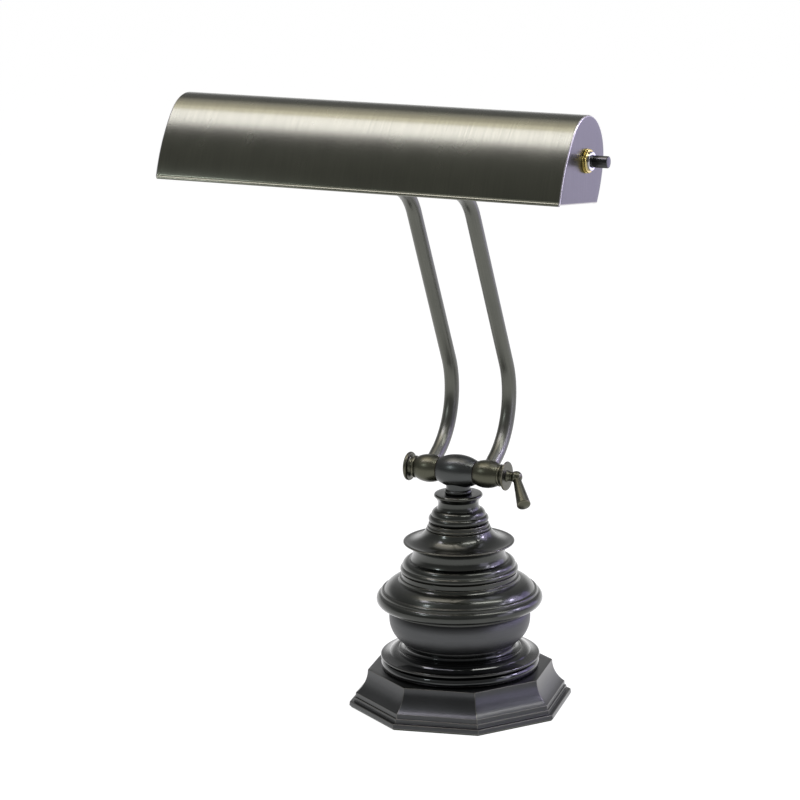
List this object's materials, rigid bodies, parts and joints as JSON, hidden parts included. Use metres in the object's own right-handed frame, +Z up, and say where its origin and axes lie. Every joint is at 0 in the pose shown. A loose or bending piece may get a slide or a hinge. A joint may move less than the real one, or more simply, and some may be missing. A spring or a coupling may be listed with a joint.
{
  "type": "piano lamp",
  "caption": "Piano lamp with a long trough shade that tilts on bent tube arms, clamped by a small lever to a turned column on a heavy polygonal foot.",
  "frame": {"origin": "centre of the foot's underside, on the table", "axes": "+X along the shade towards its push button, +Y to the back, away from the overhanging shade, +Z up"},
  "size_m": [0.3744, 0.2907, 0.5433],
  "materials": {
    "foot_iron": "dark bronze lacquer over cast iron, semi-gloss",
    "column_bronze": "dark antique bronze lacquer, semi-gloss",
    "bar_bronze": "antique bronze, satin",
    "arm_bronze": "antique bronze on drawn tube, satin",
    "shade_bronze": "antique bronze, brushed along the length",
    "bare_iron": "raw casting",
    "bare_steel": "zinc plated, satin",
    "brass": "polished",
    "chrome": "polished",
    "bulb_metal": "satin",
    "black_plastic": "moulded, matt",
    "black_gloss": "polished",
    "fibre": "vulcanised fibre",
    "felt": "felt",
    "frosted_glass": "frosted white",
    "black_wire": "insulation",
    "white_wire": "insulation"
  },
  "bodies": {
    "base": {"foot": "foot_iron", "felt_pad": "felt", "ballast_weight": "bare_iron", "cord_bushing": "black_plastic", "pedestal": "column_bronze", "bowl": "column_bronze", "cover": "column_bronze", "flared_collar": "column_bronze", "top_vase": "column_bronze", "centre_pipe": "bare_steel", "pipe_washer": "bare_steel", "pipe_nut": "brass", "collar_ring": "bar_bronze", "saddle": "bar_bronze", "barrel": "bar_bronze", "friction_washers": "fibre", "left_finial": "bar_bronze", "right_flange": "bar_bronze"},
    "arms": {"left_knuckle": "bar_bronze", "right_knuckle": "bar_bronze", "left_arm": "arm_bronze", "right_arm": "arm_bronze", "arm_eyes": "arm_bronze"},
    "shade": {"pivot_pins": "brass", "pivot_nuts": "brass", "pivot_washers": "fibre", "shade_shell": "shade_bronze", "left_cap": "shade_bronze", "right_cap": "shade_bronze", "shade_bracket": "bare_steel", "bracket_rivets": "shade_bronze", "lamp_bracket": "bare_steel", "lamp_bracket_screw": "bare_steel", "lampholder": "black_plastic", "screw_shell": "brass", "centre_contact": "brass", "socket_screw": "bare_steel", "bulb_glass": "frosted_glass", "bulb_base": "bulb_metal", "switch_body": "black_plastic", "switch_bushing": "chrome", "switch_nut": "brass", "switch_lead": "black_wire", "return_lead": "black_wire", "neutral_lead": "white_wire"},
    "lever": {"clamp_rod": "bare_steel", "lever_hub": "bar_bronze", "lever_handle": "bar_bronze"},
    "button": {"push_button": "black_gloss"}
  },
  "joints": [
    {"name": "arm_tilt", "type": "hinge", "parent": "base", "child": "arms", "pos_m": [0, 0, 0.2059], "axis": [1, 0, 0], "range_deg": [-45, 45]},
    {"name": "shade_tilt", "type": "hinge", "parent": "arms", "child": "shade", "pos_m": [0, -0.12838, 0.48558], "axis": [1, 0, 0], "range_deg": [-25, 35]},
    {"name": "lever_turn", "type": "hinge", "parent": "base", "child": "lever", "pos_m": [0.0544, 0, 0.2059], "axis": [1, 0, 0], "range_deg": [0, 150]},
    {"name": "switch_push", "type": "slide", "parent": "shade", "child": "button", "axis": [-1, 0, 0], "range_m": [0, 0.003], "stiffness_N_per_m": 600}
  ]
}
